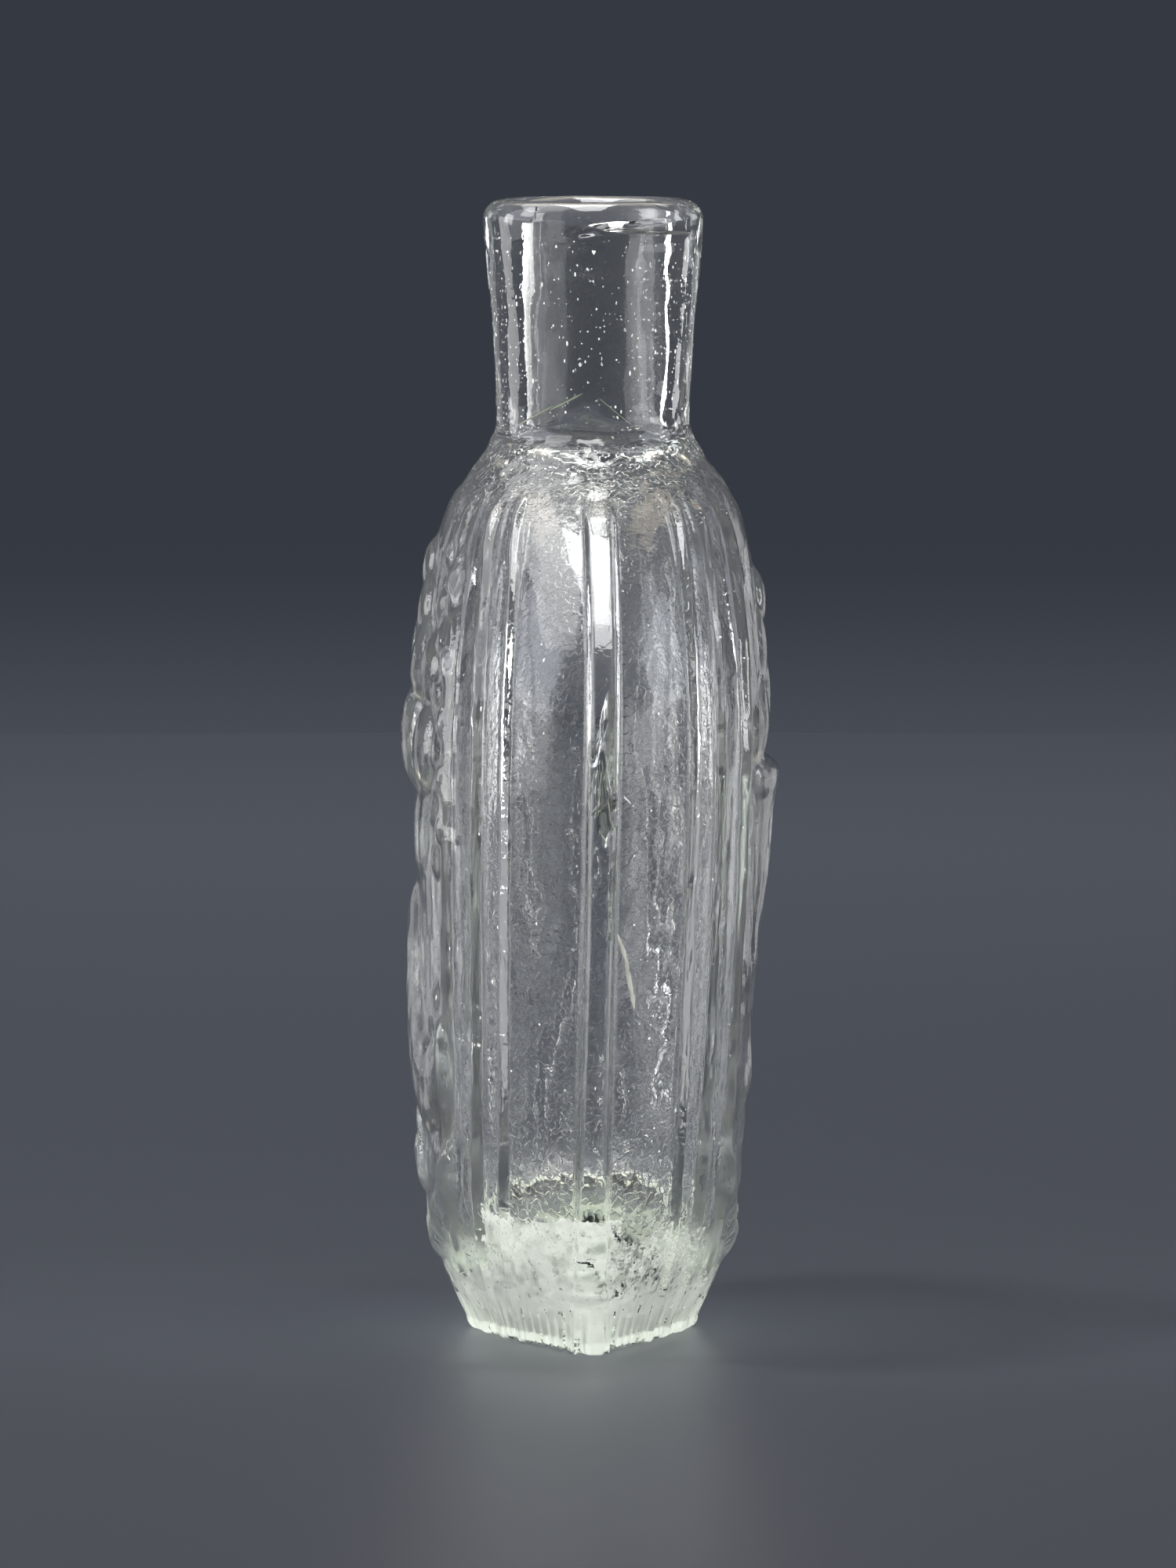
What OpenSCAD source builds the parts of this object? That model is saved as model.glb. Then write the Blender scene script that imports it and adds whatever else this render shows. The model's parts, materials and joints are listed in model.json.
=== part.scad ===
// Hand-blown half-pint figured flask: one gather of colourless glass, blown in a two-piece hinged
// mould, with ribbed edges, a raised ornament on each broad face and a plain fire-polished lip.
// Millimetres. The flask stands on z = 0. X runs through its thickness, Y across its broad faces.
// The glass is drawn region by region: each region is a closed solid that meets its neighbours
// face to face, along the lines where a glassmaker would name the next part of the flask.

/* [Body] */
// Height from the resting face to the top of the lip
height = 140; // [132:1:148]
// Width across the broad faces, without the medial ribs
body_w = 98; // [90:1:106]
// Thickness through the body, without the raised ornament
body_t = 42.4; // [38.4:0.4:45.6]
// Height at which the body ends and the round neck begins
neck_root_z = 110; // [106:1:112]

/* [Neck] */
// Outside diameter at the root of the neck
neck_d = 23.6; // [22:0.2:25]
// Outside diameter at the lip
lip_d = 27.2; // [26.4:0.2:28.4]
// Diameter of the bore that takes the stopper
bore_d = 17.2; // [15:0.2:18.4]
// Height of the lip, from its lower edge to the top
lip_h = 6; // [5:0.5:8]

/* [Glass] */
// Wall thickness behind the broad faces
face_wall = 3.2; // [2.6:0.2:4.2]
// Wall thickness behind the ribbed edges
edge_wall = 4.4; // [3.6:0.2:5.6]
// Thickness of the glass under the cavity
base_wall = 8; // [7:0.5:10]

/* [Edges] */
// Width of the heavy medial rib down each edge
medial_rib_w = 4.4; // [3.4:0.2:5.4]
// How far the medial rib stands out
medial_rib_h = 1.6; // [1:0.1:2]
// How far the narrower ribs stand out
side_rib_h = 0.8; // [0.4:0.1:1]

/* [Ornament] */
// How far the highest point of the ornament stands out
relief_h = 2.3; // [1.6:0.1:2.6]

/* [Hidden] */
$fn = 96;

glass = [0.86, 0.91, 0.89, 0.5];

// The mould didn't stand quite true: the foot sits a little to one side of the neck.
foot_offset = -1.0;
neck_offset = 0.45;

// Height of the foot plate, and height at which the shoulder begins.
foot_h = 1.6;
shoulder_z = 97;

neck_steps = 6;
// The neck flares slowly at first: its profile is a power of the height.
neck_sweep = 1.6;
// How far the lip's lower edge stays inside its widest line.
lip_round_in = 0.2;

// The foot plate is sunk round the scar that the pontil rod left.
scar_r = 8;
scar_ring = 1.6;
scar_h = 0.5;
recess_r = 10;
recess_h = 0.9;

// Outline of the glass, from the foot to the root of the neck:
// share of that height, share of body_t, share of body_w, and how square the section is.
// A section of squareness 2 is an ellipse, and a lower one comes to a point at the edges.
OUTLINE = [
    [0.00, 0.68, 0.66, 1.15],
    [0.04, 0.77, 0.69, 1.35],
    [0.09, 0.86, 0.73, 1.60],
    [0.16, 0.92, 0.78, 1.75],
    [0.28, 0.95, 0.86, 1.85],
    [0.48, 0.98, 0.97, 2.00],
    [0.66, 1.00, 1.00, 2.00],
    [0.76, 0.98, 0.95, 2.00],
    [0.85, 0.93, 0.77, 2.00],
    [0.91, 0.88, 0.57, 2.00],
    [0.96, 0.75, 0.37, 2.00],
    [1.00, neck_d / body_t, neck_d / body_w, 2.00]
];

// Where the narrower ribs stand, as shares of the half thickness, and their half width likewise.
side_ribs = [0.54, 0.70, 0.86];
side_rib_half = 0.035;
// Share of the half thickness at which the ribbed edge gives way to the broad face.
edge_share = 0.78;
// Height at which the ribs run out below the neck.
rib_top_z = 104;

// Fruit heaped over the horn and in the urn: across, up, radius, height as a share of relief_h.
HORN_FRUIT = [
    [-2, 74, 6.8, 1.00], [9, 73, 5.6, 0.80], [-13, 73, 5.4, 0.75], [-6, 83.5, 5.2, 0.80],
    [4, 85, 4.8, 0.70], [13, 82, 4.4, 0.60], [-14, 83, 4.2, 0.55], [-2, 90, 4.0, 0.65],
    [1, 95, 3.4, 0.60], [0, 62, 5.0, 0.30], [10, 61, 4.6, 0.30], [-10, 62, 4.6, 0.28],
    [9, 25, 4.2, 0.50], [2, 21, 4.0, 0.50], [12, 18, 3.6, 0.40]
];
URN_FRUIT = [
    [0, 79.5, 5.6, 0.50], [-10, 76.5, 5.0, 0.42], [10, 76.5, 5.0, 0.42], [-17, 75, 3.8, 0.35],
    [17, 75, 3.8, 0.35], [-6, 85.5, 4.6, 0.40], [6, 85.5, 4.6, 0.40], [0, 91, 3.8, 0.60]
];
// Middle line of the horn from its mouth to its tip: across, up, radius, share of relief_h.
HORN = [
    [8, 47, 8.6, 0.74], [5, 41, 8.0, 0.72], [-1, 35, 7.0, 0.62], [-9, 31, 5.6, 0.50],
    [-16, 32, 4.0, 0.42], [-20, 37, 2.8, 0.36], [-17, 43, 1.7, 0.30]
];
// The urn, from its foot up: height, half width, share of relief_h.
URN = [
    [29, 10, 0.20], [32, 8, 0.25], [34, 3.2, 0.18], [38, 3.2, 0.18], [43, 8, 0.20],
    [50, 12.5, 0.34], [57, 15, 0.65], [63, 15.5, 0.70], [66.5, 16, 0.78], [68.5, 18, 0.95],
    [71, 18, 0.90]
];
// Leaves of the spray that closes each face at the foot: across, up, turn from upright.
SPRAY = [for (side = [-1, 1], k = [0 : 3]) [side * (4 + 5 * k), 12 + 3.2 * k, side * (62 - 8 * k)]];
leaf_long = 5;
leaf_wide = 2.1;
leaf_share = 0.45;

// ---- Curves ----

function sgn(v) = v < 0 ? -1 : 1;
function clamp01(v) = min(1, max(0, v));
function ease(v) = let (t = clamp01(v)) t * t * (3 - 2 * t);

// Slope of a table's column at row i.
function slope(table, i, col) =
    let (lo = max(0, i - 1), hi = min(len(table) - 1, i + 1))
    (table[hi][col] - table[lo][col]) / (table[hi][0] - table[lo][0]);

// Smooth curve through a table's rows, read at s in its first column.
function along(table, s, col, i = 0) =
    i < len(table) - 2 && s > table[i + 1][0] ? along(table, s, col, i + 1) :
    let (
        span = table[i + 1][0] - table[i][0],
        t = clamp01((s - table[i][0]) / span),
        hump = t * (1 - t)
    )
    table[i][col] * (1 - ease(t)) + table[i + 1][col] * ease(t)
        + span * hump * ((1 - t) * slope(table, i, col) - t * slope(table, i + 1, col));

function share(z) = (z - foot_h) / (neck_root_z - foot_h);
function half_t(z) = body_t / 2 * along(OUTLINE, share(z), 1);
function half_w(z) = body_w / 2 * along(OUTLINE, share(z), 2);
function squareness(z) = along(OUTLINE, share(z), 3);
function drift(z) = foot_offset + (neck_offset - foot_offset) * ease(z / neck_root_z);

// ---- Ribs ----

function rib(u) = abs(u) >= 1 ? 0 : (1 + cos(180 * u)) / 2;
function medial(x) = medial_rib_h * (1 - ease((abs(x) - medial_rib_w / 4) / (medial_rib_w / 4)));
function side_rib(s) = side_rib_h * max([for (at = side_ribs) rib((s - at) / side_rib_half)]);
function ribs(x, s, z) =
    max(medial(x), side_rib(s)) * ease((rib_top_z - z) / 2);

// ---- Ornament: how far it stands out at a place on a broad face ----

function dome(d, r) = d >= r ? 0 : sqrt(1 - pow(d / r, 2));

function fruit(list, y, z) = max([for (f = list) f[3] * dome(norm([y - f[0], z - f[1]]), f[2])]);

function leaf(y, z) = max([
    for (l = SPRAY)
        let (
            u = (y - l[0]) * sin(l[2]) + (z - l[1]) * cos(l[2]),
            v = (y - l[0]) * cos(l[2]) - (z - l[1]) * sin(l[2])
        )
        leaf_share * dome(norm([u / leaf_long, v / leaf_wide]), 1)
]);

steps = 6;
HORN_LINE = [
    for (i = [0 : len(HORN) - 2], k = [0 : steps - 1]) HORN[i] + (HORN[i + 1] - HORN[i]) * k / steps
];
function horn(y, z) = max([for (c = HORN_LINE) c[3] * dome(norm([y - c[0], z - c[1]]), c[2])]);

function urn(y, z) =
    z < URN[0][0] || z > URN[len(URN) - 1][0] ? 0 :
    along(URN, z, 2) * dome(abs(y) / along(URN, z, 1), 1);

function cornucopia(y, z) = relief_h * max(fruit(HORN_FRUIT, y, z), horn(y, z), leaf(y, z));
function urn_of_fruit(y, z) = relief_h * max(fruit(URN_FRUIT, y, z), urn(y, z), leaf(y, z));

// ---- Surfaces: a point on the glass at height z ----

// The height of a section's outline above its X axis, at a share s of the half thickness.
function arch(s, p) = pow(max(0, 1 - pow(abs(s), p)), 1 / p);

// A point of an edge's outer skin, at s from -1 to 1 through the thickness. side is -1 for the near edge.
function edge_skin(s, z, side) =
    let (
        a = half_t(z), b = half_w(z), p = squareness(z),
        x = s * a, y = b * arch(s, p),
        out = [sgn(s) * pow(abs(s), p - 1) / a, pow(y / b, p - 1) / b],
        raise = ribs(x, abs(s), z) / norm(out)
    )
    [drift(z) + x + raise * out[0], side * (y + raise * out[1]), z];

// A point of a broad face's outer skin, at t from -1 to 1 across it. side is -1 for the cornucopia.
function face_skin(t, z, side) =
    let (
        p = squareness(z), reach = arch(edge_share, p), y = t * reach * half_w(z),
        margin = ease((1 - abs(t)) * 8),
        raised = side < 0 ? cornucopia(y, z) : urn_of_fruit(y, z),
        x = half_t(z) * arch(t * reach, p) + raised * margin + side_rib_at_face(t * reach, p, z)
    )
    [drift(z) + side * x, y, z];
function side_rib_at_face(t, p, z) = side_rib(arch(t, p)) * ease((rib_top_z - z) / 2);

// Half thickness and half width of the cavity. Its floor is rounded, and more so towards the edges,
// where the blown glass doesn't fill the mould's corners.
function rounded(z, reach) = sqrt(1 - pow(1 - clamp01((z - base_wall + 2) / reach), 2));
function cavity_t(z) = max(bore_d / 2, (half_t(z) - face_wall) * rounded(z, 10));
function cavity_w(z) = max(bore_d / 2, (half_w(z) - edge_wall) * rounded(z, 20));

function edge_wall_inside(s, z, side) = [
    drift(z) + s * cavity_t(z), side * cavity_w(z) * arch(s, 2), z
];
function face_wall_inside(t, z, side) =
    let (reach = arch(edge_share, 2))
    [drift(z) + side * cavity_t(z) * arch(t * reach, 2), t * reach * cavity_w(z), z];

// ---- Closed solids from grids of points ----

// The two triangles of each cell of a grid whose points start at index first.
function cells(rows, cols, first, flip) = [
    for (r = [0 : rows - 2], c = [0 : cols - 2])
        let (i = first + r * cols + c, q = [i, i + 1, i + cols + 1, i + cols])
        each flip ? [[q[0], q[1], q[2]], [q[0], q[2], q[3]]] : [[q[0], q[2], q[1]], [q[0], q[3], q[2]]]
];
// The strip of triangles between two lists of indices of one length.
function strip(from, to, flip) = [
    for (k = [0 : len(from) - 2])
        let (q = [from[k], from[k + 1], to[k + 1], to[k]])
        each flip ? [[q[0], q[1], q[2]], [q[0], q[2], q[3]]] : [[q[0], q[2], q[1]], [q[0], q[3], q[2]]]
];

// A piece of wall between an outer and an inner grid with the same rows and columns.
module wall_patch(outer, inner, flip) {
    rows = len(outer);
    cols = len(outer[0]);
    n = rows * cols;
    bottom = [for (c = [0 : cols - 1]) c];
    left = [for (r = [0 : rows - 1]) r * cols];
    polyhedron(
        points = [for (row = outer) each row, for (row = inner) each row],
        faces = [
            each cells(rows, cols, 0, flip),
            each cells(rows, cols, n, !flip),
            each strip(bottom, [for (i = bottom) i + n], !flip),
            each strip([for (i = bottom) i + n - cols], [for (i = bottom) i + 2 * n - cols], flip),
            each strip(left, [for (i = left) i + n], flip),
            each strip([for (i = left) i + cols - 1], [for (i = left) i + cols - 1 + n], !flip)
        ]
    );
}

// A solid through a stack of closed loops, each with the same number of points, capped at both ends.
module loft(loops) {
    rows = len(loops);
    cols = len(loops[0]);
    n = rows * cols;
    function around(r) = [for (c = [0 : cols]) r * cols + c % cols];
    polyhedron(
        points = [for (row = loops) each row, middle(loops[0]), middle(loops[rows - 1])],
        faces = [
            for (r = [0 : rows - 2]) each strip(around(r), around(r + 1), true),
            for (c = [0 : cols - 1]) [n, (c + 1) % cols, c],
            for (c = [0 : cols - 1]) [n + 1, n - cols + c, n - cols + (c + 1) % cols]
        ]
    );
}
function middle(loop) = [for (k = [0 : 2]) sum([for (p = loop) p[k]]) / len(loop)];
function sum(v, i = 0) = i >= len(v) ? 0 : v[i] + sum(v, i + 1);

// A ring-shaped solid between stacks of outer and inner loops.
module ring(outer, inner) {
    rows = len(outer);
    cols = len(outer[0]);
    n = rows * cols;
    function around(r) = [for (c = [0 : cols]) r * cols + c % cols];
    function inside(r) = [for (i = around(r)) i + n];
    polyhedron(
        points = [for (row = outer) each row, for (row = inner) each row],
        faces = [
            for (r = [0 : rows - 2]) each strip(around(r), around(r + 1), true),
            for (r = [0 : rows - 2]) each strip(inside(r), inside(r + 1), false),
            each strip(around(0), inside(0), false),
            each strip(around(rows - 1), inside(rows - 1), true)
        ]
    );
}

// ---- Where the grids' rows and columns run ----

wall_rows = 40;
function wall_z(r) = base_wall + (shoulder_z - base_wall) * r / wall_rows;

medial_share = medial_rib_w / body_t;
half_columns = [
    medial_share / 2, medial_share, 0.2, 0.34, 0.46,
    for (at = [side_ribs[0], side_ribs[1]]) each [at - side_rib_half, at, at + side_rib_half],
    edge_share
];
edge_columns = [
    for (k = [len(half_columns) - 1 : -1 : 0]) -half_columns[k],
    0,
    each half_columns
];
face_cells = 28;
face_columns = [for (c = [0 : face_cells]) 2 * c / face_cells - 1];

// A whole section at height z, outer or inner, from edge to face to edge to face.
function skin_loop(z) = concat(
    [for (k = [0 : len(edge_columns) - 2]) edge_skin(edge_columns[k], z, -1)],
    [for (c = [0 : face_cells - 1]) face_skin(face_columns[c], z, 1)],
    [for (k = [0 : len(edge_columns) - 2]) edge_skin(-edge_columns[k], z, 1)],
    [for (c = [0 : face_cells - 1]) face_skin(-face_columns[c], z, -1)]
);
function cavity_loop(z) = concat(
    [for (k = [0 : len(edge_columns) - 2]) edge_wall_inside(edge_columns[k], z, -1)],
    [for (c = [0 : face_cells - 1]) face_wall_inside(face_columns[c], z, 1)],
    [for (k = [0 : len(edge_columns) - 2]) edge_wall_inside(-edge_columns[k], z, 1)],
    [for (c = [0 : face_cells - 1]) face_wall_inside(-face_columns[c], z, -1)]
);

// ---- The regions of the flask ----

module edge_region(side) {
    outer = [for (r = [0 : wall_rows]) [for (s = edge_columns) edge_skin(s, wall_z(r), side)]];
    inner = [for (r = [0 : wall_rows]) [for (s = edge_columns) edge_wall_inside(s, wall_z(r), side)]];
    color(glass) wall_patch(outer, inner, side < 0);
}

module face_region(side) {
    outer = [for (r = [0 : wall_rows]) [for (t = face_columns) face_skin(t, wall_z(r), side)]];
    inner = [for (r = [0 : wall_rows]) [for (t = face_columns) face_wall_inside(t, wall_z(r), side)]];
    color(glass) wall_patch(outer, inner, side > 0);
}

module near_edge() edge_region(-1);
module far_edge() edge_region(1);
module cornucopia_face() face_region(-1);
module urn_face() face_region(1);

shoulder_rows = 6;
module shoulder() {
    levels = [for (r = [0 : shoulder_rows]) shoulder_z + (neck_root_z - shoulder_z) * r / shoulder_rows];
    color(glass) ring([for (z = levels) skin_loop(z)], [for (z = levels) cavity_loop(z)]);
}

module neck() {
    rise = height - lip_h - neck_root_z;
    flare = (lip_d - neck_d) / 2 - lip_round_in;
    color(glass) translate([neck_offset, 0, 0]) rotate_extrude() polygon([
        [bore_d / 2, neck_root_z],
        for (k = [0 : neck_steps])
            let (t = k / neck_steps)
            [neck_d / 2 + flare * pow(t, neck_sweep), neck_root_z + rise * t],
        [bore_d / 2, height - lip_h]
    ]);
}

// The rim is drawn thick and round by the fire: a straight wall that ends in a half round.
module lip() {
    round_r = (lip_d - bore_d) / 4;
    color(glass) translate([neck_offset, 0, 0]) rotate_extrude() polygon([
        [bore_d / 2, height - lip_h],
        [lip_d / 2 - lip_round_in, height - lip_h],
        for (a = [0 : 15 : 180])
            [bore_d / 2 + round_r * (1 + cos(a)), height - round_r + round_r * sin(a)]
    ]);
}

base_rows = 3;
module base() {
    levels = [for (r = [0 : base_rows]) foot_h + (base_wall - foot_h) * r / base_rows];
    color(glass) loft([for (z = levels) skin_loop(z)]);
}

// The foot is a thin plate of the same outline, sunk in the middle round the pontil scar.
module foot() {
    rim = skin_loop(foot_h);
    color(glass) difference() {
        linear_extrude(foot_h) polygon([for (p = rim) [p[0], p[1]]]);
        translate([foot_offset, 0, -1]) cylinder(r = recess_r, h = 1 + recess_h);
    }
}

// Ring of glass left where the pontil rod was cracked off.
module pontil_scar() {
    color(glass) translate([foot_offset, 0, recess_h - scar_h]) difference() {
        cylinder(r = scar_r, h = scar_h);
        translate([0, 0, -1]) cylinder(r = scar_r - scar_ring, h = scar_h + 2);
    }
}

lip();
neck();
shoulder();
cornucopia_face();
urn_face();
near_edge();
far_edge();
base();
foot();
pontil_scar();
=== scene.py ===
# %% [markdown]
# # A mould-blown glass flask
#
# The object is a half-pint figured flask, blown about two hundred years ago from one gather of nearly
# colourless glass. It has a ribbed edge on each narrow side, a horn of plenty on one broad face, an urn of
# fruit on the other, a plain neck and a rim that was rounded in the fire. The lesson builds it as glass
# really is: one closed skin with an outside and an inside, because light bends at both.

# %% Load the frame
import json
import math

import bmesh
import bpy
import numpy as np
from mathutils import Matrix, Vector


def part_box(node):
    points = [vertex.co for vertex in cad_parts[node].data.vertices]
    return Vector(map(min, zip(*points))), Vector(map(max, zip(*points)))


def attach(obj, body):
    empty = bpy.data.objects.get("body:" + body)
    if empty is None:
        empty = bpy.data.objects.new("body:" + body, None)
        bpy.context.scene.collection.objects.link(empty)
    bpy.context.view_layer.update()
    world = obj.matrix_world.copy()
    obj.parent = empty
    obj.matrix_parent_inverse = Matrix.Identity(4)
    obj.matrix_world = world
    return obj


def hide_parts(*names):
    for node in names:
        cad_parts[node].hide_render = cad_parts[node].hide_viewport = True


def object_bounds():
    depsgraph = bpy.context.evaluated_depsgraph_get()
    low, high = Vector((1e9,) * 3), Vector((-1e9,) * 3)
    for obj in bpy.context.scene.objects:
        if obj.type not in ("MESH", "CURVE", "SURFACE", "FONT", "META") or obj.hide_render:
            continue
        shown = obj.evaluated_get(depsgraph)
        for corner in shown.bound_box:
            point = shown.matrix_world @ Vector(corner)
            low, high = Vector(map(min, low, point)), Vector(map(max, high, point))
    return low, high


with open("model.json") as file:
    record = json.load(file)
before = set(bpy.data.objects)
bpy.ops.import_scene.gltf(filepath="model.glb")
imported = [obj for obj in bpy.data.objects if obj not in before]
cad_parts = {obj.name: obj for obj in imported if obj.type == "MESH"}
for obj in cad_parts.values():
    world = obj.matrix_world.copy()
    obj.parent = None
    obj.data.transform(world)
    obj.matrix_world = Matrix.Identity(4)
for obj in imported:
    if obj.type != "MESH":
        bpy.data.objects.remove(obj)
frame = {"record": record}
cad_box = [list(corner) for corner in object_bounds()]
print("CAD box in metres:", cad_box)

# %% [markdown]
# ## Measures from the frame
#
# Every size is read from the model's own nodes, so the skin of glass lands where the solids are. The
# script thinks in millimetres, because glass walls, ribs and bubbles are that size, and turns them into
# metres only when a mesh is made.

# %% Measures
MM = 0.001


def node_low(node):
    return np.array(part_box(node)[0]) / MM


def node_high(node):
    return np.array(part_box(node)[1]) / MM


TOP = node_high("lip")[2]
LIP_LOW = node_low("lip")[2]
NECK_ROOT = node_low("neck")[2]
WALL_LOW = node_low("near_edge")[2]
FOOT_TOP = node_high("foot")[2]
LIP_R = (node_high("lip")[0] - node_low("lip")[0]) / 2
NECK_X = (node_high("lip")[0] + node_low("lip")[0]) / 2
SCAR_R = (node_high("pontil_scar")[0] - node_low("pontil_scar")[0]) / 2
FOOT_X = (node_high("pontil_scar")[0] + node_low("pontil_scar")[0]) / 2
SCAR_LOW = node_low("pontil_scar")[2]
SCAR_HIGH = node_high("pontil_scar")[2]
MOUTH = next(m for m in frame["record"]["mounts"] if m["name"] == "mouth")
BORE_R = MOUTH["dims"]["r_mm"]
BOX_LOW = np.array(cad_box[0]) / MM
BOX_HIGH = np.array(cad_box[1]) / MM
print(f"height {TOP:.1f} mm, neck from {NECK_ROOT:.1f} mm, bore radius {BORE_R:.1f} mm")

# %% [markdown]
# ## The camera
#
# Small glass is shot from far away with a long lens, so its upright lines stay upright. The camera looks
# slightly down and stands a touch to the left of the flask's edge. Its lens follows from how much of the
# flask one pixel covers, in a frame that is 2000 pixels high.

# %% Camera
FRAME_ROWS = 2000
CAMERA_DISTANCE = 2.0
CAMERA_HEIGHT = 0.215
CAMERA_TURN = math.radians(-1.8)
AIM = Vector((-0.0002, 0.0, 0.0676))
MM_A_PIXEL = 0.0970
SENSOR = 36.0


def make_camera():
    data = bpy.data.cameras.new("product_camera")
    camera = bpy.data.objects.new("product_camera", data)
    bpy.context.collection.objects.link(camera)
    side = CAMERA_DISTANCE * math.sin(CAMERA_TURN)
    back = -CAMERA_DISTANCE * math.cos(CAMERA_TURN)
    camera.location = (side, back, CAMERA_HEIGHT)
    sight = AIM - camera.location
    camera.rotation_euler = sight.to_track_quat("-Z", "Y").to_euler()
    data.sensor_width = SENSOR
    data.lens = SENSOR * sight.length / (FRAME_ROWS * MM_A_PIXEL * MM)
    data.clip_end = 20
    bpy.context.scene.camera = camera
    print(f"lens {data.lens:.0f} mm at {sight.length:.2f} m")


make_camera()

# %% [markdown]
# ## Helpers for colour and nodes
#
# Colours are written as the hex values that a screen shows and turned into the linear values that a
# renderer adds up. One small function adds a shader node with its settings and links.

# %% Colour and node helpers


def linear(hex_colour):
    parts = [int(hex_colour[i : i + 2], 16) / 255 for i in (1, 3, 5)]
    return [p / 12.92 if p <= 0.04045 else ((p + 0.055) / 1.055) ** 2.4 for p in parts] + [1.0]


def add(tree, kind, settings=None, inputs=None):
    """Adds a node. An input is a value, or a socket to link from."""
    node = tree.nodes.new(kind)
    for name, value in (settings or {}).items():
        setattr(node, name, value)
    for name, value in (inputs or {}).items():
        if isinstance(value, bpy.types.NodeSocket):
            tree.links.new(value, node.inputs[name])
        else:
            node.inputs[name].default_value = value
    return node


def new_material(name):
    material = bpy.data.materials.new(name)
    material.use_nodes = True
    material.node_tree.nodes.clear()
    return material, material.node_tree


# %% [markdown]
# ## Floor, backdrop and lamps
#
# Clear glass has almost no colour of its own: it shows what stands around it. A quiet grey surrounding
# keeps it clear, and soft boxes draw the bright lines: a tall one on the left, a small one on the right, and
# a strip and a bank overhead. Large dim walls of light stand at the sides, so the thick parts of the glass
# find something paler than the backdrop to show. Four small lamps stand low, where the ribs look. The
# tabletop is pale but barely lit: the boxes are shaded from it, and it has dim lamps of its own.

# %% Floor
# satin_tabletop: a painted board, rubbed down to a satin. Its gloss is wide and soft, so the flask's glow
# spreads before it. Its colour darkens a little towards its rim, which is a painted shade, so its far edge is
# faint against the backdrop.
FLOOR_RADIUS = 1.05
RIM_STARTS = 0.72
FLOOR_STEPS = 96


def make_floor():
    ring = [
        (FLOOR_RADIUS * math.cos(a), FLOOR_RADIUS * math.sin(a), 0.0)
        for a in (2 * math.pi * k / FLOOR_STEPS for k in range(FLOOR_STEPS))
    ]
    mesh = bpy.data.meshes.new("floor")
    mesh.from_pydata(ring, [], [list(range(FLOOR_STEPS))])
    floor = bpy.data.objects.new("floor", mesh)
    bpy.context.collection.objects.link(floor)
    material, tree = new_material("satin_tabletop")
    place = add(tree, "ShaderNodeTexCoord").outputs["Object"]
    reach = add(tree, "ShaderNodeVectorMath", {"operation": "LENGTH"}, {0: place}).outputs["Value"]
    # painted shade: the colour darkens from RIM_STARTS out to the table's edge
    rim = add(tree, "ShaderNodeMapRange", {"interpolation_type": "SMOOTHSTEP"}, {
        "Value": reach, "From Min": RIM_STARTS, "From Max": FLOOR_RADIUS,
    })
    tone = add(tree, "ShaderNodeMix", {"data_type": "RGBA"}, {
        0: rim.outputs[0], 6: linear("#9298A4"), 7: linear("#888D99"),
    })
    shader = add(tree, "ShaderNodeBsdfPrincipled", None, {
        "Base Color": tone.outputs[2],
        "Roughness": 0.4,
        "Specular IOR Level": 0.35,
    })
    add(tree, "ShaderNodeOutputMaterial", None, {"Surface": shader.outputs[0]})
    mesh.materials.append(material)
    return floor


floor = make_floor()
print(f"table: {2 * FLOOR_RADIUS:.1f} m across")

# %% Backdrop
# The backdrop is dark above the horizon and a little paler just under it, where the table's far edge is.
# How far up a direction points runs from -1 to 1.
HAZE_LOW, HAZE_HIGH = -0.0745, -0.0580


def make_backdrop():
    world = bpy.data.worlds.new("studio")
    bpy.context.scene.world = world
    world.use_nodes = True
    tree = world.node_tree
    tree.nodes.clear()
    direction = add(tree, "ShaderNodeTexCoord").outputs["Generated"]
    up = add(tree, "ShaderNodeSeparateXYZ", None, {0: direction}).outputs["Z"]
    spread = add(tree, "ShaderNodeMapRange", {"interpolation_type": "SMOOTHSTEP"}, {
        "Value": up, "From Min": HAZE_LOW, "From Max": HAZE_HIGH,
    })
    grey = add(tree, "ShaderNodeMix", {"data_type": "RGBA"}, {
        0: spread.outputs[0], 6: linear("#4A4E57"), 7: linear("#353941"),
    })
    sky = add(tree, "ShaderNodeBackground", None, {"Color": grey.outputs[2], "Strength": 1.0})
    add(tree, "ShaderNodeOutputWorld", None, {"Surface": sky.outputs[0]})


make_backdrop()
print("backdrop:", bpy.context.scene.world.name)

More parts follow.
